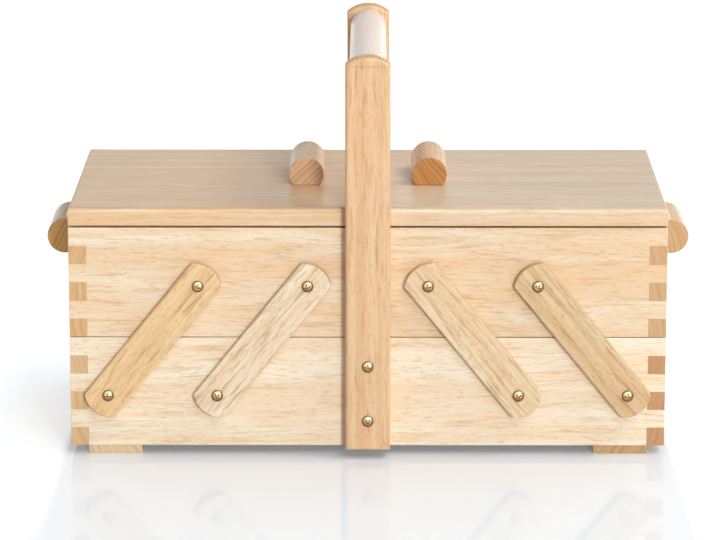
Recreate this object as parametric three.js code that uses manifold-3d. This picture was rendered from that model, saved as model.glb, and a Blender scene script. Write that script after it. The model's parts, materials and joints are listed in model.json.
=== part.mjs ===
// A cantilever sewing box in pale hardwood: a base box, two trays that swing out sideways on
// flat arms, a lid hinged at the outer end of each tray, and a tall handle over the middle.
// Millimetres. X runs along the box, Y from the front to the back and Z up. The origin is on
// the floor under the middle of the box.

import Module from "manifold-3d";
import * as THREE from "three";
import { mergeVertices } from "three/addons/utils/BufferGeometryUtils.js";

// The base box, its boards and the plywood bottom that lies in a groove round each box.
const boxWidth = 400;
const boxDepth = 200;
const boardThickness = 11.8;
const tierHeight = 74.8;
const fingerCount = 6;
const panelThickness = 4;
const panelRise = 6;
const grooveDepth = 5;

// Clearances: between glued faces, round a panel in its groove, round what turns or is screwed
// in, between the closed trays and the base, along the trays' sides and between the two trays.
const glueGap = 0.1;
const panelGap = 0.2;
const turnGap = 0.3;
const seamGap = 0.5;
const traySideGap = 0.5;
const middleGap = 1;
const cutOverrun = 1;

// The foot battens under the base.
const footWidth = 36;
const footThickness = 6.2;
const footSetback = 2;

// The arms and their pivots. A lower pivot is on the base and an upper one on a tray. An arm's
// ends reach past its pivots in a shallow curve, whose radius is half the arm's width and a
// margin, and meet its sides in small rounded corners. The inner arms end at a gap to the posts.
const armWidth = 25.4;
const armThickness = 6.5;
const armEndReach = 14.5;
const armEndMargin = 6;
const armCornerRadius = 3;
const armEdgeRadius = 0.8;
const armStandoff = 0.8;
const armPostGap = 10.7;
const outerPivotInset = 25.7;
const pivotSpacing = 73.3;
const lowerPivotHeight = 36.5;
const upperPivotHeight = 36.5;

// Round-head brass screws with a cross recess.
const screwHeadRadius = 4;
const screwHeadHeight = 2.6;
const screwShankRadius = 1.9;
const screwPointLength = 4;
const armScrewLength = 16;
const postScrewLength = 22;
const crossLength = 5;
const crossWidth = 1.2;
const crossDepth = 1.5;
const crossFloorShare = 0.4;
const crossTurnStep = Math.PI * (3 - Math.sqrt(5));

// The lids.
const lidThickness = 12.5;
const lidEdgeRadius = 3;
const lidGap = 1.4;

// Lid knobs and tray pulls: lengths of one dowel with a flat planed along it.
const gripRadius = 12;
const gripFlatDepth = 4.2;
const gripLength = 57;
const gripEdgeRadius = 0.8;
const knobOffset = 42;
const pullDrop = 21.5;

// Butt hinges at the outer end of each lid.
const hingeLength = 25;
const hingeSpacing = 110;
const leafWidth = 9;
const leafThickness = 0.9;
const barrelRadius = 1.7;
const hingePinRadius = 0.8;
const leafHoleRadius = 1.2;
const leafHoleSpacing = 15;

// The handle: a post at the front and at the back, and a round rail between them. The upper post
// screw is a drop below the base's rim, and the cover is the wood left outside a rail's tenon.
const postWidth = 30;
const postThickness = 13;
const postLength = 268;
const postCrownMargin = 8;
const postEdgeRadius = 2.2;
const lowerPostScrewHeight = 20.4;
const upperPostScrewDrop = 16.8;
const railRadius = 12.5;
const railDrop = 2.7;
const railTenonRadius = 7;
const railTenonCover = 5;

// How finely round shapes are divided.
const screwSides = 16;
const holeSides = 12;
const railSides = 32;
const gripArcSteps = 20;
const armArcSteps = 5;
const armCornerSteps = 2;
const crownSteps = 8;
const roundingSteps = 2;
const domeSteps = 4;

// Sizes that follow from those above.
const fingerHeight = tierHeight / fingerCount;
const trayDepth = boxDepth - 2 * traySideGap;
const trayLength = (boxWidth - middleGap) / 2;
const trayMiddle = (middleGap + trayLength) / 2;
const trayBottom = footThickness + tierHeight + seamGap;
const trayTop = trayBottom + tierHeight;
const outerPivotX = boxWidth / 2 - outerPivotInset;
const innerPivotX = outerPivotX - pivotSpacing;
const armEndRadius = armWidth / 2 + armEndMargin;
const armReach = innerPivotX - postWidth / 2 - armPostGap - armEndReach;
const lowerPivotZ = footThickness + lowerPivotHeight;
const armRise = trayBottom + upperPivotHeight - lowerPivotZ;
const armSpan = Math.hypot(armReach, armRise);
const armAngle = Math.atan2(armRise, armReach);
const armOuterFace = boxDepth / 2 + armStandoff + armThickness;
const hingeOutset = barrelRadius + turnGap;
const hingeX = boxWidth / 2 + hingeOutset;
const hingeZ = trayTop + lidGap / 2;
const leafGainDepth = turnGap / 2 + leafThickness + glueGap - lidGap / 2;
const knuckleLength = hingeLength / 3;
const gripCentreHeight = gripRadius - gripFlatDepth;
const pullHeight = tierHeight - pullDrop;
const postCrownRadius = postWidth / 2 + postCrownMargin;
const upperPostScrewHeight = tierHeight - upperPostScrewDrop;
const railHeight = postLength - railDrop - railRadius;
const railTenonLength = postThickness - railTenonCover;

const wasm = await Module();
wasm.setup();

// Solids are joined and cut as closed meshes whose shared corners are merged.
function solidFrom(geometry) {
  geometry.deleteAttribute("normal");
  geometry.deleteAttribute("uv");
  const merged = mergeVertices(geometry);
  const mesh = new wasm.Mesh({
    numProp: 3,
    vertProperties: merged.attributes.position.array,
    triVerts: Uint32Array.from(merged.index.array),
  });
  return new wasm.Manifold(mesh);
}

function geometryFrom(solid) {
  const mesh = solid.getMesh();
  const geometry = new THREE.BufferGeometry();
  geometry.setAttribute("position", new THREE.BufferAttribute(mesh.vertProperties, mesh.numProp));
  geometry.setIndex(new THREE.BufferAttribute(mesh.triVerts, 1));
  geometry.computeVertexNormals();
  return geometry;
}

const joined = (solid, additions) => additions.reduce((sum, one) => sum.add(one), solid);
const cut = (solid, cutters) => cutters.reduce((rest, one) => rest.subtract(one), solid);

// A block that fills a range along each of the three axes.
function block(...ranges) {
  const sizes = ranges.map(([low, high]) => high - low);
  const middles = ranges.map(([low, high]) => (low + high) / 2);
  return solidFrom(new THREE.BoxGeometry(...sizes).translate(...middles));
}

const about = (middle, length) => [middle - length / 2, middle + length / 2];

// A round rod along Y, also used to drill holes.
function rod(radius, [from, to], x, z, sides) {
  const geometry = new THREE.CylinderGeometry(radius, radius, to - from, sides);
  return solidFrom(geometry.translate(x, (from + to) / 2, z));
}

// Points along an arc, from one angle to another, both ends included.
function arcPoints(x, y, radius, from, to, steps) {
  const points = [];
  for (let step = 0; step <= steps; step += 1) {
    const angle = from + ((to - from) * step) / steps;
    points.push(new THREE.Vector2(x + radius * Math.cos(angle), y + radius * Math.sin(angle)));
  }
  return points;
}

// An outline in X and Z made thick along Y, with its two faces' edges rounded off.
function slabAlongY(outline, thickness, edgeRadius) {
  const geometry = new THREE.ExtrudeGeometry(new THREE.Shape(outline), {
    depth: thickness - 2 * edgeRadius,
    bevelThickness: edgeRadius,
    bevelSize: edgeRadius,
    bevelOffset: -edgeRadius,
    bevelSegments: roundingSteps,
  });
  geometry.rotateX(Math.PI / 2);
  return solidFrom(geometry.translate(0, thickness / 2 - edgeRadius, 0));
}

// Cutters for every second row of fingers, counted down from the top edge of a box.
function fingerNotches(firstRow, xRange, yRange) {
  const notches = [];
  for (let row = firstRow; row < fingerCount; row += 2) {
    const rowMiddle = tierHeight - (row + 1 / 2) * fingerHeight;
    notches.push(block(xRange, yRange, about(rowMiddle, fingerHeight + glueGap)));
  }
  return notches;
}

// The space of a box's bottom panel: with a gap it is the groove that the panel lies in.
function panelSpace(length, depth, gap) {
  const margin = 2 * (boardThickness - grooveDepth - gap);
  const zRange = about(panelRise + panelThickness / 2, panelThickness + 2 * gap);
  return block(about(0, length - margin), about(0, depth - margin), zRange);
}

// A front board, with its face towards -Y and its lower edge at zero. It has the top row of
// fingers at both ends, and a hole for each screw, given as its place and the depth of its tip.
function frontBoard(length, depth, screws) {
  const face = -depth / 2;
  const board = block([-length / 2, length / 2], [face, face + boardThickness], [0, tierHeight]);
  const yRange = [face - cutOverrun, face + boardThickness + cutOverrun];
  const notchLength = 2 * (boardThickness + glueGap);
  const ends = [-length / 2, length / 2];
  const notches = ends.flatMap((end) => fingerNotches(1, about(end, notchLength), yRange));
  const holeRadius = screwShankRadius + turnGap;
  const holes = screws.map(({ x, z, tip }) =>
    rod(holeRadius, [face - cutOverrun, tip + turnGap], x, z, holeSides),
  );
  return cut(board, [...notches, ...holes, panelSpace(length, depth, panelGap)]);
}

// An end board at the left of its box, with the second row of fingers at both ends.
function endBoard(length, depth) {
  const face = -length / 2;
  const board = block([face, face + boardThickness], [-depth / 2, depth / 2], [0, tierHeight]);
  const xRange = [face - cutOverrun, face + boardThickness + cutOverrun];
  const notchLength = 2 * (boardThickness + glueGap);
  const ends = [-depth / 2, depth / 2];
  const notches = ends.flatMap((end) => fingerNotches(0, xRange, about(end, notchLength)));
  return cut(board, [...notches, panelSpace(length, depth, panelGap)]);
}

// The shallow gains that the hinge leaves are let into, in a face at the given height.
function hingeGains(faceX, faceZ) {
  const xRange = [faceX - cutOverrun, faceX + leafWidth + panelGap];
  const zRange = about(faceZ, 2 * leafGainDepth);
  const middles = [-hingeSpacing / 2, hingeSpacing / 2];
  return middles.map((y) => block(xRange, about(y, hingeLength + 2 * panelGap), zRange));
}

// A screw along Y. Its head rests on the plane at zero and points to -Y.
function screwSolid(length, turn) {
  const dome = arcPoints(0, 0, 1, -Math.PI / 2, 0, domeSteps);
  const profile = dome.map((point) => point.multiply({ x: screwHeadRadius, y: screwHeadHeight }));
  profile[0].x = 0;
  profile.push(new THREE.Vector2(screwShankRadius, 0));
  profile.push(new THREE.Vector2(screwShankRadius, length - screwPointLength));
  profile.push(new THREE.Vector2(0, length));
  const body = solidFrom(new THREE.LatheGeometry(profile, screwSides));
  const slot = crossSlot().rotate([0, THREE.MathUtils.radToDeg(turn), 0]);
  return cut(body, [slot, slot.rotate([0, 90, 0])]);
}

// One slot of the cross recess, narrower at its floor.
function crossSlot() {
  const floorY = crossDepth - screwHeadHeight;
  const mouthY = -screwHeadHeight - cutOverrun;
  const slope = (1 - crossFloorShare) / crossDepth;
  const mouthHalf = (crossLength / 2) * (crossFloorShare + slope * (floorY - mouthY));
  const floorHalf = (crossLength / 2) * crossFloorShare;
  const outline = [
    new THREE.Vector2(-mouthHalf, mouthY),
    new THREE.Vector2(mouthHalf, mouthY),
    new THREE.Vector2(floorHalf, floorY),
    new THREE.Vector2(-floorHalf, floorY),
  ];
  const geometry = new THREE.ExtrudeGeometry(new THREE.Shape(outline), {
    depth: crossWidth,
    bevelEnabled: false,
  });
  return solidFrom(geometry.translate(0, 0, -crossWidth / 2));
}

// The end of an arm that points to +X from its pivot at the origin: a corner's arc at each side
// and a shallow arc between them. The last point of an arc is the first of the next.
function armEndPoints() {
  const middle = armEndReach - armEndRadius;
  const cornerY = armWidth / 2 - armCornerRadius;
  const cornerOut = Math.sqrt((armEndRadius - armCornerRadius) ** 2 - cornerY ** 2);
  const meeting = Math.atan2(cornerY, cornerOut);
  const corner = (y, from, to) =>
    arcPoints(middle + cornerOut, y, armCornerRadius, from, to, armCornerSteps);
  return [
    ...corner(-cornerY, -Math.PI / 2, -meeting).slice(0, -1),
    ...arcPoints(middle, 0, armEndRadius, -meeting, meeting, armArcSteps),
    ...corner(cornerY, meeting, Math.PI / 2).slice(1),
  ];
}

// An arm lying along X, with its lower pivot at the origin.
function armSolid() {
  const upperEnd = armEndPoints().map(({ x, y }) => new THREE.Vector2(armSpan + x, y));
  const lowerEnd = armEndPoints().map(({ x, y }) => new THREE.Vector2(-x, -y));
  const outline = [...upperEnd, ...lowerEnd];
  const throughRange = about(0, armThickness + cutOverrun);
  const holes = [0, armSpan].map((x) =>
    rod(screwShankRadius + turnGap, throughRange, x, 0, holeSides),
  );
  return cut(slabAlongY(outline, armThickness, armEdgeRadius), holes);
}

// A knob or pull, standing on its flat with its length along Y.
function gripSolid() {
  const flatAngle = Math.asin(gripCentreHeight / gripRadius);
  const from = -flatAngle;
  const to = Math.PI + flatAngle;
  const outline = arcPoints(0, gripCentreHeight, gripRadius, from, to, gripArcSteps);
  return slabAlongY(outline, gripLength, gripEdgeRadius);
}

// A lid, seen from its hinge axis: it reaches along X from the outer end of the box.
function lidSolid() {
  const bottom = lidGap / 2;
  const outline = [
    new THREE.Vector2(hingeOutset, -trayDepth / 2),
    new THREE.Vector2(hingeOutset + trayLength, -trayDepth / 2),
    new THREE.Vector2(hingeOutset + trayLength, trayDepth / 2),
    new THREE.Vector2(hingeOutset, trayDepth / 2),
  ];
  const geometry = new THREE.ExtrudeGeometry(new THREE.Shape(outline), {
    depth: lidThickness,
    bevelThickness: lidEdgeRadius,
    bevelSize: lidEdgeRadius,
    bevelOffset: -lidEdgeRadius,
    bevelSegments: roundingSteps + 1,
  });
  const rounded = solidFrom(geometry.translate(0, 0, bottom - lidEdgeRadius));
  const below = block(
    [hingeOutset - cutOverrun, hingeOutset + trayLength + cutOverrun],
    about(0, trayDepth + 2 * cutOverrun),
    [bottom - 2 * lidEdgeRadius - cutOverrun, bottom],
  );
  return cut(rounded, [below, ...hingeGains(hingeOutset, bottom)]);
}

// One leaf of a hinge, seen from the pin's axis: it reaches along X, below or above the pin.
function leafPlate(side) {
  const plateMiddle = (side * (turnGap + leafThickness)) / 2;
  const xRange = [0, hingeOutset + leafWidth];
  const plate = block(xRange, about(0, hingeLength), about(plateMiddle, leafThickness));
  const drillLength = leafThickness + 2 * cutOverrun;
  const holes = [-leafHoleSpacing / 2, leafHoleSpacing / 2].map((y) => {
    const drill = new THREE.CylinderGeometry(leafHoleRadius, leafHoleRadius, drillLength, holeSides);
    drill.rotateX(Math.PI / 2);
    return solidFrom(drill.translate(hingeOutset + leafWidth / 2, y, plateMiddle));
  });
  return cut(plate, holes);
}

// Room in a leaf for the other leaf's knuckle.
function knuckleRoom(y, length) {
  return block([-hingeOutset, hingeOutset], about(y, length), about(0, 2 * hingeOutset));
}

// The tray's leaf has the two outer knuckles and the pin, and the lid's leaf the middle one.
function trayLeaf() {
  const plate = leafPlate(-1).subtract(knuckleRoom(0, knuckleLength + 2 * turnGap));
  const knuckles = [-knuckleLength, knuckleLength].map((y) =>
    rod(barrelRadius, about(y, knuckleLength), 0, 0, holeSides),
  );
  const pin = rod(hingePinRadius, about(0, hingeLength), 0, 0, holeSides);
  return joined(plate, [...knuckles, pin]);
}

function lidLeaf() {
  const roomLength = knuckleLength + 2 * turnGap;
  const rooms = [-knuckleLength, knuckleLength].map((y) => knuckleRoom(y, roomLength));
  const knuckle = rod(barrelRadius, about(0, knuckleLength - 2 * turnGap), 0, 0, holeSides);
  const bore = rod(hingePinRadius + turnGap, about(0, hingeLength + cutOverrun), 0, 0, holeSides);
  return joined(cut(leafPlate(1), rooms), [knuckle]).subtract(bore);
}

// A handle post with its foot at zero, its outer face at -Y and its two screws driven in.
function postSolid() {
  const halfWidth = postWidth / 2;
  const crownHalfAngle = Math.asin(halfWidth / postCrownRadius);
  const crownFrom = Math.PI / 2 - crownHalfAngle;
  const crownTo = Math.PI / 2 + crownHalfAngle;
  const crownCentre = postLength - postCrownRadius;
  const outline = [
    new THREE.Vector2(-halfWidth, 0),
    new THREE.Vector2(halfWidth, 0),
    ...arcPoints(0, crownCentre, postCrownRadius, crownFrom, crownTo, crownSteps),
  ];
  const post = slabAlongY(outline, postThickness, postEdgeRadius);
  const socketFloor = postThickness / 2 - railTenonLength - turnGap;
  const socketRange = [socketFloor, postThickness / 2 + cutOverrun];
  const socket = rod(railTenonRadius + panelGap, socketRange, 0, railHeight, railSides);
  const screws = [lowerPostScrewHeight, upperPostScrewHeight].map((height) => {
    const turn = (height / postLength) * crossTurnStep;
    return screwSolid(postScrewLength, turn).translate([0, -postThickness / 2, height]);
  });
  return joined(post.subtract(socket), screws);
}

// The rail along Y, with a tenon at each end for the posts' sockets.
function railSolid() {
  const half = boxDepth / 2;
  const tenonEnd = half + railTenonLength;
  const profile = [
    new THREE.Vector2(0, -tenonEnd),
    new THREE.Vector2(railTenonRadius, -tenonEnd),
    new THREE.Vector2(railTenonRadius, -half),
    new THREE.Vector2(railRadius, -half),
    new THREE.Vector2(railRadius, half),
    new THREE.Vector2(railTenonRadius, half),
    new THREE.Vector2(railTenonRadius, tenonEnd),
    new THREE.Vector2(0, tenonEnd),
  ];
  return solidFrom(new THREE.LatheGeometry(profile, railSides));
}

const wood = (color) => new THREE.MeshStandardMaterial({ color, roughness: 0.6, metalness: 0 });
const brass = new THREE.MeshStandardMaterial({ color: 0xb8965a, roughness: 0.35, metalness: 1 });
const paleWood = wood(0xedd3a8);
const warmWood = wood(0xdcb37c);
const plywood = wood(0xe2c79a);

function piece(name, solid, material) {
  const mesh = new THREE.Mesh(geometryFrom(solid), material);
  mesh.name = name;
  return mesh;
}

function placed(object, x, y, z) {
  object.position.set(x, y, z);
  return object;
}

function turnedAboutZ(object, angle) {
  object.rotation.z = angle;
  return object;
}

// The base box with its feet. Its back and right boards are the front and left ones turned round.
function makeBase() {
  const group = new THREE.Group();
  const armTip = armScrewLength - armOuterFace - turnGap;
  const postTip = postScrewLength - boxDepth / 2 - glueGap - postThickness;
  const pivots = [outerPivotX, innerPivotX];
  const screws = [
    ...pivots.flatMap((x) => [-x, x]).map((x) => ({ x, z: lowerPivotHeight, tip: armTip })),
    { x: 0, z: lowerPostScrewHeight, tip: postTip },
    { x: 0, z: upperPostScrewHeight, tip: postTip },
  ];
  const front = frontBoard(boxWidth, boxDepth, screws);
  const end = endBoard(boxWidth, boxDepth);
  group.add(piece("base_front_board", front, paleWood));
  group.add(turnedAboutZ(piece("base_back_board", front, paleWood), Math.PI));
  group.add(piece("base_left_end", end, paleWood));
  group.add(turnedAboutZ(piece("base_right_end", end, paleWood), Math.PI));
  group.add(piece("base_bottom_panel", panelSpace(boxWidth, boxDepth, 0), plywood));
  for (const [side, sign] of [["left", -1], ["right", 1]]) {
    const x = sign * (boxWidth / 2 - boardThickness - footWidth / 2);
    const yRange = about(0, boxDepth - 2 * footSetback);
    const foot = block(about(x, footWidth), yRange, [-footThickness, -glueGap]);
    group.add(piece(`${side}_foot_batten`, foot, paleWood));
  }
  return placed(group, 0, 0, footThickness);
}

// The handle's two posts and its rail.
function makeHandle() {
  const group = new THREE.Group();
  const y = boxDepth / 2 + glueGap + postThickness / 2;
  const post = postSolid();
  group.add(placed(piece("front_handle_post", post, warmWood), 0, -y, 0));
  group.add(placed(turnedAboutZ(piece("back_handle_post", post, warmWood), Math.PI), 0, y, 0));
  group.add(placed(piece("handle_rail", railSolid(), paleWood), 0, 0, railHeight));
  return placed(group, 0, 0, footThickness);
}

// The left tray about its own middle, with the pull on its outer end.
function makeTray(side, faces) {
  const group = new THREE.Group();
  const tip = armScrewLength - armOuterFace - turnGap;
  const pivots = [outerPivotX, innerPivotX].map((x) => trayMiddle - x + armReach);
  const end = endBoard(trayLength, trayDepth);
  const outerEnd = cut(end, hingeGains(-trayLength / 2, tierHeight));
  for (const [face, sign] of faces) {
    const screws = pivots.map((x) => ({ x: -sign * x, z: upperPivotHeight, tip }));
    const board = frontBoard(trayLength, trayDepth, screws);
    const boardPiece = piece(`${side}_tray_${face}_board`, board, paleWood);
    group.add(turnedAboutZ(boardPiece, sign > 0 ? Math.PI : 0));
  }
  group.add(piece(`${side}_tray_outer_end`, outerEnd, paleWood));
  group.add(turnedAboutZ(piece(`${side}_tray_inner_end`, end, paleWood), Math.PI));
  group.add(piece(`${side}_tray_bottom_panel`, panelSpace(trayLength, trayDepth, 0), plywood));
  const pull = piece(`${side}_tray_pull`, gripSolid(), warmWood);
  pull.rotation.y = -Math.PI / 2;
  group.add(placed(pull, -trayLength / 2 - glueGap, 0, pullHeight));
  return placed(group, -trayMiddle, 0, trayBottom);
}

// The left lid with its knob, and both leaves of its two hinges, about the hinge axis.
function makeLid(side, faces) {
  const group = new THREE.Group();
  group.add(piece(`${side}_lid`, lidSolid(), paleWood));
  const knob = piece(`${side}_lid_knob`, gripSolid(), warmWood);
  group.add(placed(knob, hingeX - knobOffset, 0, lidGap / 2 + lidThickness + glueGap));
  for (const [face, sign] of faces) {
    const y = (sign * hingeSpacing) / 2;
    group.add(placed(piece(`${side}_${face}_hinge_tray_leaf`, trayLeaf(), brass), 0, y, 0));
    group.add(placed(piece(`${side}_${face}_hinge_lid_leaf`, lidLeaf(), brass), 0, y, 0));
  }
  return placed(group, -hingeX, 0, hingeZ);
}

// The left arms, two at the front and two at the back, each with its lower and upper screw.
function makeArms(side, faces) {
  const group = new THREE.Group();
  const arm = armSolid();
  const pivots = [["outer", -outerPivotX], ["inner", -innerPivotX]];
  let screwsDriven = 0;
  const nextScrew = (name) => {
    screwsDriven += 1;
    return piece(name, screwSolid(armScrewLength, screwsDriven * crossTurnStep), brass);
  };
  for (const [face, sign] of faces) {
    const armY = sign * (armOuterFace - armThickness / 2);
    const screwY = sign * (armOuterFace + turnGap);
    for (const [place, x] of pivots) {
      const name = `${side}_${face}_${place}`;
      const armMesh = placed(piece(`${name}_arm`, arm, warmWood), x, armY, lowerPivotZ);
      armMesh.rotation.y = -armAngle;
      group.add(armMesh);
      const turn = sign > 0 ? Math.PI : 0;
      const lower = turnedAboutZ(nextScrew(`${name}_lower_screw`), turn);
      const upper = turnedAboutZ(nextScrew(`${name}_upper_screw`), turn);
      group.add(placed(lower, x, screwY, lowerPivotZ));
      group.add(placed(upper, x + armReach, screwY, lowerPivotZ + armRise));
    }
  }
  return group;
}

// The right half is the left half turned half a turn about Z, so its front is the other face.
const halves = [
  { side: "left", turn: 0, faces: [["front", -1], ["back", 1]] },
  { side: "right", turn: Math.PI, faces: [["front", 1], ["back", -1]] },
];

const sewingBox = new THREE.Group();
sewingBox.add(makeBase());
sewingBox.add(makeHandle());
for (const { side, turn, faces } of halves) {
  const half = new THREE.Group();
  half.add(makeTray(side, faces));
  half.add(makeLid(side, faces));
  half.add(makeArms(side, faces));
  sewingBox.add(turnedAboutZ(half, turn));
}

export default sewingBox;
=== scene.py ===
# A cantilever sewing box of pale varnished hardwood, closed, on a white studio floor.
# Metres. X runs along the box, Y from the front to the back and Z up.
import json
import math
import random

import bmesh
import bpy
from mathutils import Matrix, Vector


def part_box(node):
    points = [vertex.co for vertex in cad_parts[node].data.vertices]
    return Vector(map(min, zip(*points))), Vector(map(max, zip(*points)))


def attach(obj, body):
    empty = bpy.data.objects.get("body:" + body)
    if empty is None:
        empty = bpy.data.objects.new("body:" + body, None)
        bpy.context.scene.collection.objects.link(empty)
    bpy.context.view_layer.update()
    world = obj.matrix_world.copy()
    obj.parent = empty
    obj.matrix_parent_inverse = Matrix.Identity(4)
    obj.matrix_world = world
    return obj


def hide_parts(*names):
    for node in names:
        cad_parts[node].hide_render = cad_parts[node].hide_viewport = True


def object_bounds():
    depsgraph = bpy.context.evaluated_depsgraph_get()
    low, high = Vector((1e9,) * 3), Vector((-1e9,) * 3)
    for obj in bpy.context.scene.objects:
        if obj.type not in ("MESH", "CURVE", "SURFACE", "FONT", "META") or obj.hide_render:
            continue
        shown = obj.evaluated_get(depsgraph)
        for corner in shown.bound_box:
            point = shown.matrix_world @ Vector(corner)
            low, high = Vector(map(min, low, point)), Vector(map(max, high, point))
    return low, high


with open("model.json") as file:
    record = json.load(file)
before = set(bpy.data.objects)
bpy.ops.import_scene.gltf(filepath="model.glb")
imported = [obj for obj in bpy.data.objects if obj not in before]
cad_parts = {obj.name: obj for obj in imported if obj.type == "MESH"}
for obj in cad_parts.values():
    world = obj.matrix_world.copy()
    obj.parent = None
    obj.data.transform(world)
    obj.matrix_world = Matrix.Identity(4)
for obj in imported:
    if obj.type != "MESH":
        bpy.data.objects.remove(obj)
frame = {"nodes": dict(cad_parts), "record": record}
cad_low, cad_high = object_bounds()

MM = 0.001

# The camera looks down on the front from far away, turned a little to the left.
PHOTO_WIDTH_PX = 716
FOCAL_LENGTH_PX = 3784.5
SENSOR_WIDTH = 36
CAMERA_PLACE = (0.0032, -2.5603, 0.7042)
CAMERA_PITCH = 13.188
CAMERA_YAW = 0.227
NEAREST_SEEN = 0.1
FARTHEST_SEEN = 100

# Board edges are eased by sandpaper, and glued faces keep a thin gap.
EASE = 0.35 * MM
EASE_STEPS = 3
GLUE_GAP = 0.1 * MM

# Corners nearer to each other than WELD are one, corners nearer to a plane than ON_FACE lie on
# it, and faces that meet at less than FLAT_ANGLE are one.
WELD = 0.001 * MM
ON_FACE = 0.02 * MM
FLAT_ANGLE = math.radians(1)

# The arms: straight sides, and ends that are a shallow curve between two small corners.
ARM_WIDTH = 25.4 * MM
ARM_END_REACH = 14.5 * MM
ARM_END_RADIUS = 18.7 * MM
ARM_CORNER_RADIUS = 3 * MM
ARM_EDGE_RADIUS = 0.8 * MM

# Knobs and pulls: a dowel with a flat planed along it.
GRIP_RADIUS = 12 * MM
GRIP_HEIGHT = 19.8 * MM
GRIP_EDGE_RADIUS = 0.9 * MM

# The handle's posts and rail.
POST_THICKNESS = 13 * MM
POST_CROWN_RADIUS = 23 * MM
POST_EDGE_RADIUS = 2.2 * MM
POST_SCREW_HEIGHTS = {"lower": 20.4 * MM, "upper": 58 * MM}
RAIL_RADIUS = 12.5 * MM
TENON_RADIUS = 7 * MM
TENON_LENGTH = 8 * MM
TENON_GAP = 0.3 * MM

# Round-head screws with a cross recess. Each is driven to another angle.
SCREW_HEAD_RADIUS = 4 * MM
SCREW_HEAD_HEIGHT = 2.6 * MM
SCREW_SHANK_RADIUS = 1.9 * MM
SCREW_POINT_LENGTH = 4 * MM
SCREW_HOLE_RADIUS = 2.2 * MM
POST_SCREW_LENGTH = 22 * MM
CROSS_LENGTH = 5.2 * MM
CROSS_WIDTH = 1.3 * MM
CROSS_DEPTH = 1.7 * MM
CROSS_FLOOR_SHARE = 0.45
CROSS_TURN_STEP = math.pi * (3 - math.sqrt(5))

# Hinges: two small screws hold each leaf, flush in its holes.
HINGE_EASE = 0.12 * MM
HINGE_EASE_STEPS = 2
HINGE_EDGE_ANGLE = math.radians(40)
HINGE_SCREW_RADIUS = 1.15 * MM
HINGE_SCREW_DEPTH = 0.85 * MM
HINGE_SCREW_INSET = 6.5 * MM
HINGE_SCREW_SPACING = 15 * MM
HINGE_LEAF_OFFSET = 0.17 * MM
HINGE_CROSS_LENGTH = 1.5 * MM
HINGE_CROSS_WIDTH = 0.4 * MM
HINGE_CROSS_DEPTH = 0.5 * MM

# How finely round shapes are divided.
ARC_STEPS = 40
CORNER_STEPS = 8
DOME_STEPS = 12
ROUNDING_STEPS = 5
LATHE_SIDES = 64
SCREW_SIDES = 48
HINGE_SCREW_SIDES = 32
ROUND_PROFILE = 0.5
SMOOTH_ANGLE = math.radians(32)

record = frame["record"]
BODY_OF = {node: body for body, nodes in record["behaviour"]["bodies"].items() for node in nodes}


def middle(node):
    low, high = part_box(node)
    return (low + high) / 2


# Materials

class Shader:
    """The node tree of a material or a world, built one node at a time."""

    def __init__(self, owner):
        owner.use_nodes = True
        self.owner = owner
        self.tree = owner.node_tree
        self.tree.nodes.clear()

    def add(self, kind, inputs, **settings):
        node = self.tree.nodes.new("ShaderNode" + kind)
        for name, value in settings.items():
            setattr(node, name, value)
        for name, value in inputs.items():
            if isinstance(value, bpy.types.NodeSocket):
                self.tree.links.new(value, node.inputs[name])
            else:
                node.inputs[name].default_value = value
        return node

    def stretched(self, vector, scales):
        return self.add("VectorMath", {0: vector, 1: scales}, operation="MULTIPLY").outputs[0]

    def noise(self, vector, scales, detail, roughness):
        inputs = {"Vector": self.stretched(vector, scales), "Scale": 1}
        inputs |= {"Detail": detail, "Roughness": roughness}
        return self.add("TexNoise", inputs).outputs["Fac"]

    def bands(self, distance, scale, detail, roughness):
        inputs = {"W": distance, "Scale": scale, "Detail": detail, "Roughness": roughness}
        return self.add("TexNoise", inputs, noise_dimensions="1D").outputs["Fac"]

    def step(self, value, low, high, to_low=0, to_high=1):
        inputs = {"Value": value, "From Min": low, "From Max": high}
        inputs |= {"To Min": to_low, "To Max": to_high}
        return self.add("MapRange", inputs, interpolation_type="SMOOTHSTEP").outputs[0]

    def maths(self, operation, *values):
        return self.add("Math", dict(enumerate(values)), operation=operation).outputs[0]

    def mix(self, factor, first, second, blend="MIX"):
        inputs = {0: factor, 6: first, 7: second}
        return self.add("Mix", inputs, data_type="RGBA", blend_type=blend).outputs[2]

    def finish(self, surface):
        kind = "OutputWorld" if isinstance(self.owner, bpy.types.World) else "OutputMaterial"
        self.add(kind, {"Surface": surface})
        return self.owner


def rgb(red, green, blue):
    return (red, green, blue, 1)


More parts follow.
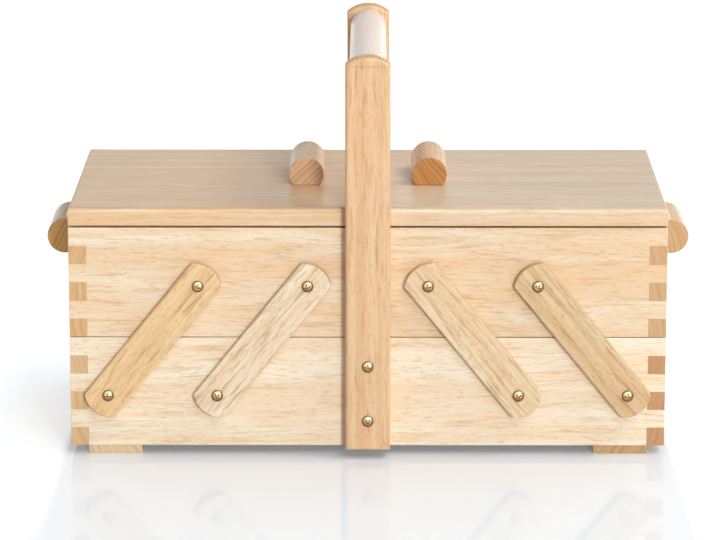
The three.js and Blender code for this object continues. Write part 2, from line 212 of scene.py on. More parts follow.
# Every kind of stock: its pale and warm wood, its blush, its darker streaks, how strong its
# figure, its streaks and its flecks are, how short they are, and its varnish.
STOCKS = {
    "base": dict(
        pale=rgb(0.90, 0.82, 0.67), warm=rgb(0.85, 0.73, 0.54),
        blush=rgb(0.87, 0.67, 0.46), streak=rgb(0.67, 0.46, 0.25),
        figure=0.75, streaks=0.6, flecks=0.38, short=1, roughness=0.42, ior=1.45,
    ),
    "tray": dict(
        pale=rgb(0.88, 0.77, 0.61), warm=rgb(0.82, 0.62, 0.41),
        blush=rgb(0.84, 0.59, 0.37), streak=rgb(0.65, 0.39, 0.18),
        figure=0.7, streaks=0.62, flecks=0.42, short=1, roughness=0.42, ior=1.45,
    ),
    "lid": dict(
        pale=rgb(0.85, 0.67, 0.47), warm=rgb(0.79, 0.56, 0.35),
        blush=rgb(0.82, 0.55, 0.35), streak=rgb(0.58, 0.37, 0.21),
        figure=0.8, streaks=0.45, flecks=0.25, short=1, roughness=0.32, ior=1.3,
    ),
    "arm": dict(
        pale=rgb(0.85, 0.68, 0.47), warm=rgb(0.77, 0.55, 0.31),
        blush=rgb(0.82, 0.56, 0.34), streak=rgb(0.53, 0.29, 0.12),
        figure=0.6, streaks=0.85, flecks=0.55, short=1.4, roughness=0.42, ior=1.45,
    ),
    "post": dict(
        pale=rgb(0.80, 0.56, 0.34), warm=rgb(0.72, 0.47, 0.27),
        blush=rgb(0.77, 0.48, 0.27), streak=rgb(0.56, 0.31, 0.13),
        figure=0.6, streaks=0.8, flecks=0.4, short=1.7, roughness=0.42, ior=1.45,
    ),
    # The rail's tones are paler than the other stocks, with a painted sheen in them for the light that
    # the top of the dowel catches.
    "rail": dict(
        pale=rgb(0.98, 0.83, 0.71), warm=rgb(0.95, 0.77, 0.64),
        blush=rgb(0.96, 0.77, 0.66), streak=rgb(0.83, 0.63, 0.51),
        figure=0.4, streaks=0.5, flecks=0.2, short=1, roughness=0.3, ior=1.6,
    ),
    "grip": dict(
        pale=rgb(0.84, 0.67, 0.48), warm=rgb(0.75, 0.54, 0.35),
        blush=rgb(0.80, 0.58, 0.41), streak=rgb(0.55, 0.35, 0.20),
        figure=0.5, streaks=0.7, flecks=0.4, short=1, roughness=0.42, ior=1.45,
    ),
    "plywood": dict(
        pale=rgb(0.84, 0.70, 0.51), warm=rgb(0.80, 0.63, 0.43),
        blush=rgb(0.81, 0.64, 0.45), streak=rgb(0.64, 0.46, 0.29),
        figure=0.6, streaks=0.6, flecks=0.3, short=1, roughness=0.5, ior=1.45,
    ),
}
PORE = rgb(0.56, 0.32, 0.14)
END_PALE = rgb(0.70, 0.45, 0.23)
END_DARK = rgb(0.57, 0.33, 0.15)

# The tints of single pieces: partly their own colour, because no two are quite the same, and partly
# painted light and shade that brighten or darken a piece to how it shows lit.
TINTS_AND_PAINTED_LIGHT = {
    "left_tray_front_board": rgb(1, 1.02, 1.03),
    "right_tray_front_board": rgb(0.95, 0.95, 0.93),
    "left_lid": rgb(0.98, 0.95, 0.89),
    "right_lid": rgb(0.95, 1.00, 1.04),
    "left_lid_knob": rgb(1.12, 1.10, 1.06),
    "right_lid_knob": rgb(0.91, 0.76, 0.63),
    "left_front_outer_arm": rgb(1, 0.96, 0.83),
    "left_front_inner_arm": rgb(1.04, 1.15, 1.33),
    "right_front_inner_arm": rgb(0.97, 1.02, 1.05),
    "right_front_outer_arm": rgb(0.85, 0.83, 0.76),
}

# The pale and the dark tone of the end grain, where a piece has its own: partly the end's own tone and
# partly painted light and shade that brighten or darken an end to how it shows lit.
END_TONES_AND_PAINTED_LIGHT = {
    "left_tray_outer_end": (rgb(0.69, 0.43, 0.21), rgb(0.59, 0.35, 0.16)),
    "right_tray_outer_end": (rgb(0.61, 0.38, 0.19), rgb(0.52, 0.31, 0.15)),
    "base_left_end": (rgb(0.69, 0.46, 0.25), rgb(0.59, 0.37, 0.18)),
    "base_right_end": (rgb(0.53, 0.29, 0.13), rgb(0.44, 0.23, 0.09)),
    "right_foot_batten": (rgb(0.56, 0.37, 0.175), rgb(0.44, 0.26, 0.10)),
    "left_foot_batten": (rgb(0.77, 0.59, 0.38), rgb(0.68, 0.47, 0.27)),
    "left_lid_knob": (rgb(0.61, 0.395, 0.24), rgb(0.40, 0.24, 0.14)),
    "right_lid_knob": (rgb(0.58, 0.31, 0.09), rgb(0.38, 0.175, 0.045)),
    "left_tray_pull": (rgb(0.73, 0.43, 0.15), rgb(0.57, 0.30, 0.09)),
    "right_tray_pull": (rgb(0.54, 0.355, 0.18), rgb(0.43, 0.255, 0.105)),
}

# Every kind of brass: its bright and dull tones, and how much painted shade darkens it where it turns
# away.
BRASSES = {
    "screw": dict(bright=rgb(0.95, 0.72, 0.44), dull=rgb(0.75, 0.52, 0.28), rim_shade_share=0.8),
    # The recess brass is darker all over: painted shade in the screws' cross recesses.
    "recess": dict(bright=rgb(0.62, 0.44, 0.24), dull=rgb(0.40, 0.25, 0.11), rim_shade_share=0),
    "hinge": dict(bright=rgb(0.74, 0.60, 0.37), dull=rgb(0.58, 0.45, 0.25), rim_shade_share=0),
}
# Painted shade: the brown that a screw head's rim darkens towards where it turns away.
RIM_SHADE_BROWN = rgb(0.13, 0.07, 0.03)
RIM_SHADE_BLEND = 0.5
RIM_SHADE_LIMITS = (0.04, 0.24)
BRASS_ROUGHNESS = (0.40, 0.52)

# Patterns in the wood and on the brass: waves per metre along the grain and across it, their
# detail and roughness, and the values between which a pattern grows from nothing to full.
PATTERNS = {
    "figure": dict(along=7, across=85, detail=4, roughness=0.62, limits=(0.42, 0.62)),
    "streaks": dict(along=24, across=420, detail=3, roughness=0.6, limits=(0.50, 0.72)),
    "fibre": dict(along=60, across=1500, detail=2, roughness=0.5, limits=(0.25, 0.75)),
    "flecks": dict(along=130, across=950, detail=2, roughness=0.5, limits=(0.54, 0.70)),
    "specks": dict(along=500, across=2200, detail=1, roughness=0.5, limits=(0.55, 0.72)),
    "patina": dict(along=900, across=900, detail=3, roughness=0.6, limits=(0.35, 0.7)),
    "brushed": dict(along=2600, across=2600, detail=1, roughness=0.5, limits=(0.2, 0.8)),
}

# Growth rings as they show along the grain and on an end, in waves per metre from the pith.
RINGS = {
    "side": dict(scale=110, detail=3, roughness=0.6, limits=(0.38, 0.62)),
    "end": dict(scale=420, detail=2, roughness=0.6, limits=(0.4, 0.68)),
}

FIBRE_STRENGTH = 0.16
SPECK_STRENGTH = 0.35
STREAK_DULLNESS = 0.10

# How much a surface faces along the grain where end grain starts, and where it is full.
END_LIMITS = (0.55, 0.95)

# Relief: how deep the pores lie against the height of the fibres, and how high those stand.
PORE_DEPTH = 1.5
RELIEF_HEIGHT = 0.12 * MM
RELIEF_STRENGTH = 0.18

# The pith's shift from the box's origin: along the grain, aside and in depth. The grain waves
# about its straight course.
PITH_RUN = 1
PITH_SIDE = 70 * MM
PITH_DEPTH = 50 * MM
PITH_DEPTH_SPREAD = 50 * MM
NOISE_MIDDLE = (0.5, 0.5, 0.5)
WAVE_SCALES = (9, 30, 30)
WAVE_DETAIL = 1
WAVE_REACH = (0, 10 * MM, 10 * MM)

# The turn that lays a material's X along the grain.
ALONG_X = (0, 0, 0)
ALONG_Y = (0, 0, math.pi / 2)
ALONG_Z = (0, -math.pi / 2, 0)


def grain_space(shader, turn, seed):
    """Coordinates with X along the grain, measured from the pith and waved a little."""
    place = random.Random(seed)
    along = place.uniform(-PITH_RUN, PITH_RUN)
    aside = place.choice((-1, 1)) * PITH_SIDE
    deep = -PITH_DEPTH - PITH_DEPTH_SPREAD * place.random()
    source = shader.add("TexCoord", {}).outputs["Object"]
    inputs = {"Vector": source, "Rotation": turn}
    turned = shader.add("Mapping", inputs, vector_type="TEXTURE").outputs[0]
    inputs = {0: turned, 1: (along, aside, deep)}
    shifted = shader.add("VectorMath", inputs, operation="ADD").outputs[0]
    inputs = {"Vector": shader.stretched(shifted, WAVE_SCALES), "Scale": 1, "Detail": WAVE_DETAIL}
    wave = shader.add("TexNoise", inputs).outputs["Color"]
    inputs = {0: wave, 1: NOISE_MIDDLE}
    centred = shader.add("VectorMath", inputs, operation="SUBTRACT").outputs[0]
    inputs = {0: centred, 1: WAVE_REACH, 2: shifted}
    return shader.add("VectorMath", inputs, operation="MULTIPLY_ADD").outputs[0]


def pith_distance(shader, space):
    across = shader.stretched(space, (0, 1, 1))
    return shader.add("VectorMath", {0: across}, operation="LENGTH").outputs["Value"]


def pattern(shader, space, kind, short=1):
    """The noise of a pattern, shortened along the grain."""
    settings = PATTERNS[kind]
    scales = (settings["along"] * short, settings["across"], settings["across"])
    return shader.noise(space, scales, settings["detail"], settings["roughness"])


def rings(shader, distance, kind):
    settings = RINGS[kind]
    noise = shader.bands(distance, settings["scale"], settings["detail"], settings["roughness"])
    return shader.step(noise, *settings["limits"])


def stock_marks(shader, space, kind, tones):
    """Where a stock's figure, streaks or flecks show, and how strongly."""
    noise = pattern(shader, space, kind, tones["short"])
    return shader.maths("MULTIPLY", shader.step(noise, *PATTERNS[kind]["limits"]), tones[kind])


def side_grain(shader, distance, tones, marks, fibre):
    """The colour of the wood where it is cut along the grain."""
    colour = shader.mix(rings(shader, distance, "side"), tones["pale"], tones["warm"])
    colour = shader.mix(marks["figure"], colour, tones["blush"])
    colour = shader.mix(marks["streaks"], colour, tones["streak"])
    colour = shader.mix(marks["flecks"], colour, PORE)
    fine = shader.step(fibre, *PATTERNS["fibre"]["limits"], 0, FIBRE_STRENGTH)
    return shader.mix(fine, colour, tones["streak"])


def end_grain(shader, space, distance, pale, dark):
    """The colour of the wood where it is cut across the grain."""
    colour = shader.mix(rings(shader, distance, "end"), pale, dark)
    specks = shader.step(pattern(shader, space, "specks"), *PATTERNS["specks"]["limits"])
    return shader.mix(shader.maths("MULTIPLY", specks, SPECK_STRENGTH), colour, END_DARK)


def end_mask(shader, turn):
    """One where the surface is cut across the grain."""
    normal = shader.add("TexCoord", {}).outputs["Normal"]
    inputs = {"Vector": normal, "Rotation": turn}
    turned = shader.add("Mapping", inputs, vector_type="TEXTURE").outputs[0]
    along = shader.add("VectorMath", {0: turned, 1: (1, 0, 0)}, operation="DOT_PRODUCT")
    return shader.step(shader.maths("ABSOLUTE", along.outputs["Value"]), *END_LIMITS)


def wood(name, stock, turn):
    """Varnished hardwood with rings, soft figure, streaks, short dark pores and darker end grain."""
    shader = Shader(bpy.data.materials.new(f"wood_{name}"))
    tones = STOCKS[stock]
    # A piece's own end tones carry some painted light and shade.
    end_pale, end_dark = END_TONES_AND_PAINTED_LIGHT.get(name, (END_PALE, END_DARK))
    space = grain_space(shader, turn, name)
    distance = pith_distance(shader, space)
    marks = {kind: stock_marks(shader, space, kind, tones) for kind in ("figure", "streaks", "flecks")}
    fibre = pattern(shader, space, "fibre")

    side = side_grain(shader, distance, tones, marks, fibre)
    end = end_grain(shader, space, distance, end_pale, end_dark)
    colour = shader.mix(end_mask(shader, turn), side, end)
    # The tint holds the piece's own colour and some painted light and shade.
    if name in TINTS_AND_PAINTED_LIGHT:
        colour = shader.mix(1, colour, TINTS_AND_PAINTED_LIGHT[name], "MULTIPLY")

    height = shader.maths("MULTIPLY_ADD", marks["flecks"], -PORE_DEPTH, fibre)
    inputs = {"Height": height, "Strength": RELIEF_STRENGTH, "Distance": RELIEF_HEIGHT}
    relief = shader.add("Bump", inputs).outputs[0]
    smoothest, dullest = tones["roughness"], tones["roughness"] + STREAK_DULLNESS
    roughness = shader.step(marks["streaks"], 0, 1, smoothest, dullest)
    inputs = {"Base Color": colour, "Roughness": roughness, "IOR": tones["ior"], "Normal": relief}
    return shader.finish(shader.add("BsdfPrincipled", inputs).outputs[0])


def brass(kind):
    """Slightly dulled brass with a mottled patina, and painted shade on the rim where the surface turns
    away.
    """
    shader = Shader(bpy.data.materials.new(f"brass_{kind}"))
    tones = BRASSES[kind]
    source = shader.add("TexCoord", {}).outputs["Object"]
    patina = shader.step(pattern(shader, source, "patina"), *PATTERNS["patina"]["limits"])
    metal = shader.mix(patina, tones["bright"], tones["dull"])
    # Painted shade on the rim, strongest where the surface turns away from the view.
    turned = shader.add("LayerWeight", {"Blend": RIM_SHADE_BLEND}).outputs["Facing"]
    rim_shade = shader.step(turned, *RIM_SHADE_LIMITS, 0, tones["rim_shade_share"])
    brushed = pattern(shader, source, "brushed")
    inputs = {
        "Base Color": shader.mix(rim_shade, metal, RIM_SHADE_BROWN),
        "Metallic": 1,
        "Roughness": shader.step(brushed, *PATTERNS["brushed"]["limits"], *BRASS_ROUGHNESS),
    }
    return shader.finish(shader.add("BsdfPrincipled", inputs).outputs[0])


# Meshes

def new_mesh(name, bm):
    bmesh.ops.recalc_face_normals(bm, faces=bm.faces)
    mesh = bpy.data.meshes.new(name)
    bm.to_mesh(mesh)
    bm.free()
    return mesh


def arc(x, z, radius, start, end, steps=ARC_STEPS):
    """Points along an arc, from one angle to another, both ends included."""
    angles = [start + (end - start) * step / steps for step in range(steps + 1)]
    return [(x + radius * math.cos(a), z + radius * math.sin(a)) for a in angles]


def rounded(bm, edges, radius, steps):
    bmesh.ops.bevel(
        bm, geom=edges, offset=radius, segments=steps, profile=ROUND_PROFILE, affect="EDGES"
    )


def slab(name, outline, thickness, edge_radius):
    """An outline in X and Z made thick along Y, with the edges of its two faces rounded."""
    bm = bmesh.new()
    front = [bm.verts.new((x, -thickness / 2, z)) for x, z in outline]
    face = bm.faces.new(front)
    extruded = bmesh.ops.extrude_face_region(bm, geom=[face])
    back = [item for item in extruded["geom"] if isinstance(item, bmesh.types.BMVert)]
    bmesh.ops.translate(bm, verts=back, vec=(0, thickness, 0))
    rims = [e for e in bm.edges if abs(e.verts[0].co.y - e.verts[1].co.y) < WELD]
    rounded(bm, rims, edge_radius, ROUNDING_STEPS)
    return new_mesh(name, bm)


def lathe(name, profile, sides=LATHE_SIDES):
    """A profile of radius and place along Y, turned round Y. It starts and ends on the axis."""
    bm = bmesh.new()
    turns = []
    for radius, y in profile:
        count = sides if radius > 0 else 1
        angles = [2 * math.pi * i / count for i in range(count)]
        turns.append([bm.verts.new((radius * math.cos(a), y, radius * math.sin(a))) for a in angles])
    for first, second in zip(turns, turns[1:]):
        for i in range(sides):
            corners = [first[i % len(first)], first[(i + 1) % len(first)]]
            corners += [second[(i + 1) % len(second)], second[i % len(second)]]
            bm.faces.new(list(dict.fromkeys(corners)))
    return new_mesh(name, bm)


def drill(radius, start, end, x=0, z=0):
    """A cutter for a round hole along Y."""
    mesh = lathe("drill", [(0, start), (radius, start), (radius, end), (0, end)])
    return placed(mesh, Matrix.Translation((x, 0, z)))


def cut(mesh, cutters):
    """The mesh with the cutters taken away. A cutter's material stays on the faces it leaves."""
    subject = bpy.data.objects.new("subject", mesh)
    bpy.context.scene.collection.objects.link(subject)
    helpers = []
    for cutter in cutters:
        helper = bpy.data.objects.new("cutter", cutter)
        bpy.context.scene.collection.objects.link(helper)
        modifier = subject.modifiers.new("cut", "BOOLEAN")
        modifier.object = helper
        modifier.operation = "DIFFERENCE"
        modifier.solver = "EXACT"
        modifier.material_mode = "TRANSFER"
        helpers.append(helper)
    evaluated = subject.evaluated_get(bpy.context.evaluated_depsgraph_get())
    result = bpy.data.meshes.new_from_object(evaluated)
    for helper in [subject, *helpers]:
        bpy.data.objects.remove(helper)
    return result


def placed(mesh, matrix):
    mesh.transform(matrix)
    return mesh


def piece(name, mesh, body, material=None, replaced=None):
    """An object that rides on a body, is finished in a slot and may stand for a node."""
    mesh.name = name
    made = bpy.data.objects.new(name, mesh)
    bpy.context.scene.collection.objects.link(made)
    if material:
        mesh.materials.clear()
        mesh.materials.append(material)
    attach(made, body)
    if replaced:
        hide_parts(replaced)
    return made


def fine_piece(node, mesh, material):
    """A finer piece in the place of a node."""
    return piece(f"fine_{node}", mesh, BODY_OF[node], material, node)


def smooth(made):
    made.data.shade_smooth()
    made.data.set_sharp_from_angle(angle=SMOOTH_ANGLE)
    modifier = made.modifiers.new("even shading", "WEIGHTED_NORMAL")
    modifier.keep_sharp = True
    return made


# Boards

BASE_BOARDS = ("front_board", "back_board", "left_end", "right_end")
TRAY_BOARDS = ("front_board", "back_board", "outer_end", "inner_end")

# Each box: its stock and its boards.
BOXES = {
    "base": ("base", BASE_BOARDS),
    "left_tray": ("tray", TRAY_BOARDS),
    "right_tray": ("tray", TRAY_BOARDS),
}


def outer_planes(nodes):
    """The two planes along each axis that close a box of boards."""
    lows, highs = zip(*(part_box(node) for node in nodes))
    return [(min(low[axis] for low in lows), max(high[axis] for high in highs)) for axis in range(3)]


def on_plane(edge, axis, value):
    return all(abs(vert.co[axis] - value) < ON_FACE for vert in edge.verts)


def on_outer_edge(edge, planes):
    """Whether an edge lies on two of the planes that close a box."""
    return sum(on_plane(edge, axis, value) for axis in range(3) for value in planes[axis]) >= 2


def eased_board(node, planes):
    """A board with the box's own edges eased, and the edges of its joints left sharp."""
    bm = bmesh.new()
    bm.from_mesh(frame["nodes"][node].data)
    bmesh.ops.remove_doubles(bm, verts=bm.verts, dist=WELD)
    bmesh.ops.dissolve_limit(bm, angle_limit=FLAT_ANGLE, verts=bm.verts, edges=bm.edges)
    rounded(bm, [edge for edge in bm.edges if on_outer_edge(edge, planes)], EASE, EASE_STEPS)
    return new_mesh(node, bm)


def make_box(box, stock, boards):
    nodes = [f"{box}_{board}" for board in boards]
    planes = outer_planes(nodes)
    for node in nodes:
        turn = ALONG_Y if node.endswith("_end") else ALONG_X
        fine_piece(node, eased_board(node, planes), wood(node, stock, turn))
    panel = f"{box}_bottom_panel"
    frame["nodes"][panel].material_slots[0].material = wood(panel, "plywood", ALONG_X)


def make_foot_battens():
    for node in ("left_foot_batten", "right_foot_batten"):
        fine_piece(node, eased_board(node, outer_planes([node])), wood(node, "base", ALONG_Y))


# Lids, knobs and pulls

# How far each grip is turned about Y from where its flat lies underneath.
GRIP_TURNS = {
    "left_lid_knob": 0,
    "right_lid_knob": 0,
    "left_tray_pull": -math.pi / 2,
    "right_tray_pull": math.pi / 2,
}


def make_lids():
    for node in ("left_lid", "right_lid"):
        mesh = eased_board(node, outer_planes([node]))
        smooth(fine_piece(node, mesh, wood(node, "lid", ALONG_X)))


def grip_outline():
    centre = GRIP_HEIGHT - GRIP_RADIUS
    flat_angle = math.asin(centre / GRIP_RADIUS)
    return arc(0, centre, GRIP_RADIUS, -flat_angle, math.pi + flat_angle)


def make_grips():
    centred = Matrix.Translation((0, 0, -GRIP_HEIGHT / 2))
    for node, turn in GRIP_TURNS.items():
        low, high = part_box(node)
        mesh = slab(node, grip_outline(), high.y - low.y, GRIP_EDGE_RADIUS)
        placed(mesh, Matrix.Translation(middle(node)) @ Matrix.Rotation(turn, 4, "Y") @ centred)
        smooth(fine_piece(node, mesh, wood(node, "grip", ALONG_Y)))


# Arms

def arm_end():
    """The end of an arm that points to +X from its pivot, from the lower side to the upper one."""
    middle_x = ARM_END_REACH - ARM_END_RADIUS
    corner_z = ARM_WIDTH / 2 - ARM_CORNER_RADIUS
    corner_out = math.sqrt((ARM_END_RADIUS - ARM_CORNER_RADIUS) ** 2 - corner_z ** 2)
    corner_x = middle_x + corner_out
    meeting = math.atan2(corner_z, corner_out)
    lower = arc(corner_x, -corner_z, ARM_CORNER_RADIUS, -math.pi / 2, -meeting, CORNER_STEPS)
    upper = arc(corner_x, corner_z, ARM_CORNER_RADIUS, meeting, math.pi / 2, CORNER_STEPS)
    return lower[:-1] + arc(middle_x, 0, ARM_END_RADIUS, -meeting, meeting) + upper[1:]


def arm_outline(span):
    return [(span + x, z) for x, z in arm_end()] + [(-x, -z) for x, z in arm_end()]


def make_arms():
    for node in [name for name in BODY_OF if name.endswith("_arm")]:
        stem = node.removesuffix("_arm")
        lower, upper = middle(f"{stem}_lower_screw"), middle(f"{stem}_upper_screw")
        low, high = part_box(node)
        run = upper - lower
        span = math.hypot(run.x, run.z)
        angle = math.atan2(run.z, run.x)
        thickness = high.y - low.y
        mesh = slab(node, arm_outline(span), thickness, ARM_EDGE_RADIUS)
        mesh = cut(mesh, [drill(SCREW_HOLE_RADIUS, -thickness, thickness, x) for x in (0, span)])
        place = Matrix.Translation((lower.x, (low.y + high.y) / 2, lower.z))
        placed(mesh, place @ Matrix.Rotation(-angle, 4, "Y"))
        smooth(fine_piece(node, mesh, wood(node, "arm", (0, -angle, 0))))


# The handle

def post_middle(face):
    """Where a post's middle lies along Y, against the base's front or back board."""
    low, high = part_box(f"base_{face}_board")
    offset = GLUE_GAP + POST_THICKNESS / 2
    return low.y - offset if face == "front" else high.y + offset


def post_outline(width, length):
    half = width / 2
    spread = math.asin(half / POST_CROWN_RADIUS)
    crown_centre = length - POST_CROWN_RADIUS
    crown = arc(0, crown_centre, POST_CROWN_RADIUS, math.pi / 2 - spread, math.pi / 2 + spread)
    return [(-half, 0), (half, 0), *crown]


def post_cutters(tenon_height):
    """A mortise for the rail's tenon in the inner face, and holes for the screws."""
    mortise_floor = POST_THICKNESS / 2 - TENON_LENGTH - TENON_GAP
    mortise_radius = TENON_RADIUS + TENON_GAP
    cutters = [drill(mortise_radius, mortise_floor, POST_THICKNESS, 0, tenon_height)]
    for height in POST_SCREW_HEIGHTS.values():
        cutters.append(drill(SCREW_HOLE_RADIUS, -POST_THICKNESS, POST_THICKNESS, 0, height))
    return cutters


def make_posts():
    rail_height = middle("handle_rail").z
    for face, turn in (("front", 0), ("back", math.pi)):
        node = f"{face}_handle_post"
        low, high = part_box(node)
        outline = post_outline(high.x - low.x, high.z - low.z)
        mesh = slab(node, outline, POST_THICKNESS, POST_EDGE_RADIUS)
        mesh = cut(mesh, post_cutters(rail_height - low.z))
        place = Matrix.Translation((0, post_middle(face), low.z)) @ Matrix.Rotation(turn, 4, "Z")
        smooth(fine_piece(node, placed(mesh, place), wood(node, "post", ALONG_Z)))


def make_rail():
    low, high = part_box("handle_rail")
    end = (high.y - low.y) / 2
    shoulder = end - TENON_LENGTH
    profile = [(0, -end), (TENON_RADIUS, -end), (TENON_RADIUS, -shoulder), (RAIL_RADIUS, -shoulder)]
    profile += [(radius, -y) for radius, y in reversed(profile)]
    mesh = placed(lathe("handle_rail", profile), Matrix.Translation(middle("handle_rail")))
    smooth(fine_piece("handle_rail", mesh, wood("handle_rail", "rail", ALONG_Y)))


# Screws

def cross_cutter(material, length, width, depth, top):
    """A plus-shaped cutter, of full size at a head's top, that narrows towards its end at +Y."""
    long, wide = length / 2, width / 2
    plus = [(long, -wide), (long, wide), (wide, wide), (wide, long), (-wide, long), (-wide, wide)]
    plus += [(-x, -z) for x, z in plus]
    mouth_share = 1 + (1 - CROSS_FLOOR_SHARE)
    bm = bmesh.new()
    mouth = [bm.verts.new((x * mouth_share, top - depth, z * mouth_share)) for x, z in plus]
    end = [
        bm.verts.new((x * CROSS_FLOOR_SHARE, top + depth, z * CROSS_FLOOR_SHARE)) for x, z in plus
    ]
    bm.faces.new(mouth)
    bm.faces.new(end)
    for i in range(len(plus)):
        j = (i + 1) % len(plus)
        bm.faces.new((mouth[i], mouth[j], end[j], end[i]))
    mesh = new_mesh("cross", bm)
    mesh.materials.append(material)
    return mesh


def screw_mesh(length, metal, recess):
    """A screw along Y whose head rests on the plane at zero and points to -Y."""
    dome = arc(0, 0, 1, -math.pi / 2, 0, DOME_STEPS)
    profile = [(max(x, 0) * SCREW_HEAD_RADIUS, y * SCREW_HEAD_HEIGHT) for x, y in dome]
    profile[0] = (0, -SCREW_HEAD_HEIGHT)
    profile += [(SCREW_SHANK_RADIUS, 0), (SCREW_SHANK_RADIUS, length - SCREW_POINT_LENGTH), (0, length)]
    mesh = lathe("screw", profile, SCREW_SIDES)
    mesh.materials.append(metal)
    cross = cross_cutter(recess, CROSS_LENGTH, CROSS_WIDTH, CROSS_DEPTH, -SCREW_HEAD_HEIGHT)
    return cut(mesh, [cross])


def flush_screw_mesh(metal, recess):
    """The flat head of a hinge's screw along Y, its top at zero and facing -Y."""
    profile = [(0, 0), (HINGE_SCREW_RADIUS, 0), (HINGE_SCREW_RADIUS, HINGE_SCREW_DEPTH)]
    profile.append((0, HINGE_SCREW_DEPTH))
    mesh = lathe("hinge_screw", profile, HINGE_SCREW_SIDES)
    mesh.materials.append(metal)
    cross = cross_cutter(recess, HINGE_CROSS_LENGTH, HINGE_CROSS_WIDTH, HINGE_CROSS_DEPTH, 0)
    return cut(mesh, [cross])


def driven_screw(name, template, place, turn_about_z, cross_turn, body, replaced=None):
    mesh = template.copy()
    matrix = Matrix.Translation(place) @ Matrix.Rotation(turn_about_z, 4, "Z")
    placed(mesh, matrix @ Matrix.Rotation(cross_turn, 4, "Y"))
    return smooth(piece(name, mesh, body, None, replaced))


def make_arm_screws(metal, recess):
    nodes = [name for name in BODY_OF if name.endswith("_screw")]
    low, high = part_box(nodes[0])
    template = screw_mesh(high.y - low.y - SCREW_HEAD_HEIGHT, metal, recess)
    for count, node in enumerate(nodes):
        low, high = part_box(node)
        centre = middle(node)
        front = centre.y < 0
        y = low.y + SCREW_HEAD_HEIGHT if front else high.y - SCREW_HEAD_HEIGHT
        turn = 0 if front else math.pi
        place = (centre.x, y, centre.z)
        cross = count * CROSS_TURN_STEP
        driven_screw(f"fine_{node}", template, place, turn, cross, BODY_OF[node], node)


def make_post_screws(metal, recess):
    template = screw_mesh(POST_SCREW_LENGTH, metal, recess)
    for face, sign, turn in (("front", -1, 0), ("back", 1, math.pi)):
        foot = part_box(f"{face}_handle_post")[0].z
        y = post_middle(face) + sign * POST_THICKNESS / 2
        for count, (level, height) in enumerate(POST_SCREW_HEIGHTS.items(), start=1):
            name = f"{face}_post_{level}_screw"
            place = (0, y, foot + height)
            driven_screw(name, template, place, turn, count * CROSS_TURN_STEP, "base")


# Hinges

def make_hinges(metal):
    """The leaves from the frame, welded at their corners so that their edges can be eased."""
    for node in [name for name in BODY_OF if name.endswith("_leaf")]:
        leaf = frame["nodes"][node]
        leaf.material_slots[0].material = metal
        weld = leaf.modifiers.new("weld", "WELD")
        weld.merge_threshold = WELD
        bevel = leaf.modifiers.new("ease", "BEVEL")
        bevel.width = HINGE_EASE
        bevel.segments = HINGE_EASE_STEPS
        bevel.angle_limit = HINGE_EDGE_ANGLE


def make_leaf_screws(leaf, template, pin, inward, facing):
    """A leaf's two screws, whose heads face up where facing is 1 and down where it is -1.

    The pin's place is a part of the crosses' turns, so that the two sides aren't alike.
    """
    pin_x, _, pin_z = pin
    x = pin_x + inward * HINGE_SCREW_INSET
    z = pin_z - facing * HINGE_LEAF_OFFSET
    turn = Matrix.Rotation(-facing * math.pi / 2, 4, "X")
    for count, offset in enumerate((-HINGE_SCREW_SPACING / 2, HINGE_SCREW_SPACING / 2)):
        place = Matrix.Translation((x, middle(leaf).y + offset, z))
        cross = Matrix.Rotation((count + pin_x) * CROSS_TURN_STEP, 4, "Y")
        mesh = placed(template.copy(), place @ turn @ cross)
        piece(f"{leaf}_screw_{count + 1}", mesh, BODY_OF[leaf])


def make_hinge_screws(metal, recess):
    template = flush_screw_mesh(metal, recess)
    pins = {joint["name"]: joint["pos_m"] for joint in record["behaviour"]["joints"]}
    for side, inward in (("left", 1), ("right", -1)):
        pin = pins[f"{side}_lid_hinge"]
        for place in ("front", "back"):
            hinge = f"{side}_{place}_hinge"
            make_leaf_screws(f"{hinge}_tray_leaf", template, pin, inward, 1)
            make_leaf_screws(f"{hinge}_lid_leaf", template, pin, inward, -1)


# The stage

FLOOR_SIZE = 30
FLOOR_DROP = 0.02 * MM
FLOOR_COLOUR = rgb(0.6, 0.6, 0.6)
FLOOR_SHINE = 0.17
FLOOR_SHINE_COLOUR = rgb(1, 0.90, 0.80)
FLOOR_SHINE_ROUGHNESS = 0.06
FLOOR_GLOW = rgb(0.34, 0.395, 0.44)
FLOOR_SHADE_REACH = 0.2
FLOOR_SHADE_SAMPLES = 16
FLOOR_SHADE_POWER = 1.8
FLOOR_SHADE_LEAST = 0.4


def floor_glow(shader):
    """A glow that only the camera sees, with a painted shade that weakens it where the box is near."""
    inputs = {"Distance": FLOOR_SHADE_REACH}
    occlusion = shader.add("AmbientOcclusion", inputs, samples=FLOOR_SHADE_SAMPLES)
    steep = shader.maths("POWER", occlusion.outputs["AO"], FLOOR_SHADE_POWER)
    shade = shader.step(steep, 0, 1, FLOOR_SHADE_LEAST, 1)
    seen = shader.add("LightPath", {}).outputs["Is Camera Ray"]
    strength = shader.maths("MULTIPLY", seen, shade)
    return shader.add("Emission", {"Color": FLOOR_GLOW, "Strength": strength}).outputs[0]


def floor_material():
    shader = Shader(bpy.data.materials.new("floor"))
    matt = shader.add("BsdfDiffuse", {"Color": FLOOR_COLOUR}).outputs[0]
    inputs = {"Color": FLOOR_SHINE_COLOUR, "Roughness": FLOOR_SHINE_ROUGHNESS}
    shine = shader.add("BsdfGlossy", inputs).outputs[0]
    coated = shader.add("MixShader", {0: FLOOR_SHINE, 1: matt, 2: shine}).outputs[0]
    return shader.finish(shader.add("AddShader", {0: coated, 1: floor_glow(shader)}).outputs[0])


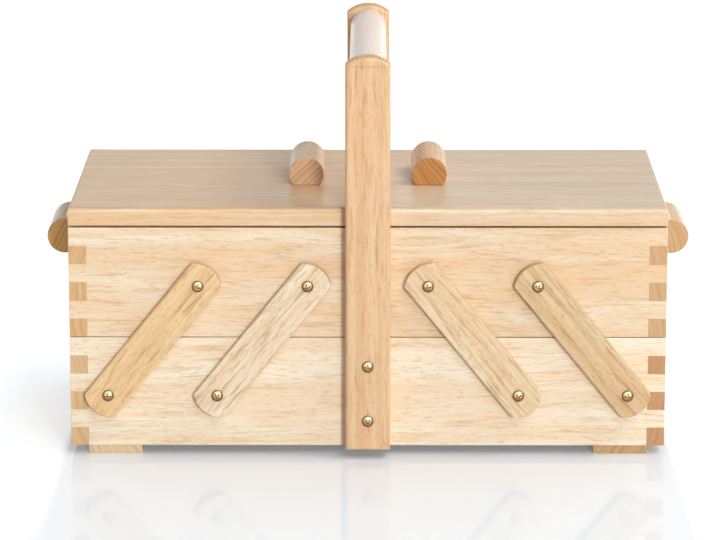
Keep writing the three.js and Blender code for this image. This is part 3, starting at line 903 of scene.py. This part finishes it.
def make_floor():
    bm = bmesh.new()
    bmesh.ops.create_grid(bm, x_segments=1, y_segments=1, size=FLOOR_SIZE / 2)
    mesh = placed(new_mesh("floor", bm), Matrix.Translation((0, 0, -FLOOR_DROP)))
    mesh.materials.append(floor_material())
    floor = bpy.data.objects.new("floor", mesh)
    bpy.context.scene.collection.objects.link(floor)
    return floor


AMBIENT = 0.1


def make_world():
    """Plain white where it is seen, mirrored or looked through, and otherwise a faint light."""
    world = bpy.data.worlds.new("studio")
    bpy.context.scene.world = world
    shader = Shader(world)
    rays = shader.add("LightPath", {}).outputs
    shown = shader.maths("MAXIMUM", rays["Is Camera Ray"], rays["Is Glossy Ray"])
    shown = shader.maths("MAXIMUM", shown, rays["Is Transmission Ray"])
    strength = shader.add("MapRange", {"Value": shown, "To Min": AMBIENT}).outputs[0]
    background = shader.add("Background", {"Color": rgb(1, 1, 1), "Strength": strength})
    shader.finish(background.outputs[0])


# Each lamp: its compass direction from the front towards the right, its height above the
# horizon, its distance, its size and its power.
LAMPS = {
    "key": dict(azimuth=14, elevation=11, distance=6, size=0.7, power=162),
    "fill": dict(azimuth=16, elevation=42, distance=4, size=1.6, power=36),
    "top": dict(azimuth=72, elevation=52, distance=3.5, size=1.6, power=52),
    "rear_right": dict(azimuth=140, elevation=10, distance=3, size=1.4, power=15),
    "rear_left": dict(azimuth=220, elevation=10, distance=3, size=1.4, power=15),
}
FLOOR_LAMPS = {
    "floor_back": dict(azimuth=180, elevation=21, distance=8, size=0.3, power=1040),
    "floor_side": dict(azimuth=24, elevation=40, distance=8, size=1.2, power=60),
}


def make_lamp(name, azimuth, elevation, distance, size, power):
    target = (cad_low + cad_high) / 2
    a, e = math.radians(azimuth), math.radians(elevation)
    away = Vector((math.sin(a) * math.cos(e), -math.cos(a) * math.cos(e), math.sin(e)))
    data = bpy.data.lights.new(name, "AREA")
    data.shape = "DISK"
    data.size = size
    data.energy = power
    lamp = bpy.data.objects.new(name, data)
    lamp.location = target + away * distance
    lamp.rotation_euler = (-away).to_track_quat("-Z", "Y").to_euler()
    bpy.context.scene.collection.objects.link(lamp)
    return lamp


def make_lamps(floor):
    """The studio's lamps, and those whose light only the floor takes, for the box's shadows."""
    for name, settings in LAMPS.items():
        make_lamp(name, **settings)
    takers = bpy.data.collections.new("floor_lamp_takers")
    takers.objects.link(floor)
    for name, settings in FLOOR_LAMPS.items():
        make_lamp(name, **settings).light_linking.receiver_collection = takers


def make_camera():
    data = bpy.data.cameras.new("camera")
    data.sensor_width = SENSOR_WIDTH
    data.lens = SENSOR_WIDTH * FOCAL_LENGTH_PX / PHOTO_WIDTH_PX
    data.clip_start = NEAREST_SEEN
    data.clip_end = FARTHEST_SEEN
    camera = bpy.data.objects.new("camera", data)
    camera.location = CAMERA_PLACE
    camera.rotation_euler = (math.radians(90 - CAMERA_PITCH), 0, math.radians(CAMERA_YAW))
    bpy.context.scene.collection.objects.link(camera)
    bpy.context.scene.camera = camera


bpy.context.scene.view_settings.view_transform = "Standard"
make_camera()
for box, (stock, boards) in BOXES.items():
    make_box(box, stock, boards)
make_foot_battens()
make_lids()
make_grips()
make_arms()
make_posts()
make_rail()
# The recess brass darkens the cross recesses with painted shade.
screw_brass, recess_shade_brass = brass("screw"), brass("recess")
make_arm_screws(screw_brass, recess_shade_brass)
make_post_screws(screw_brass, recess_shade_brass)
make_hinges(brass("hinge"))
make_hinge_screws(screw_brass, recess_shade_brass)
floor = make_floor()
make_world()
make_lamps(floor)
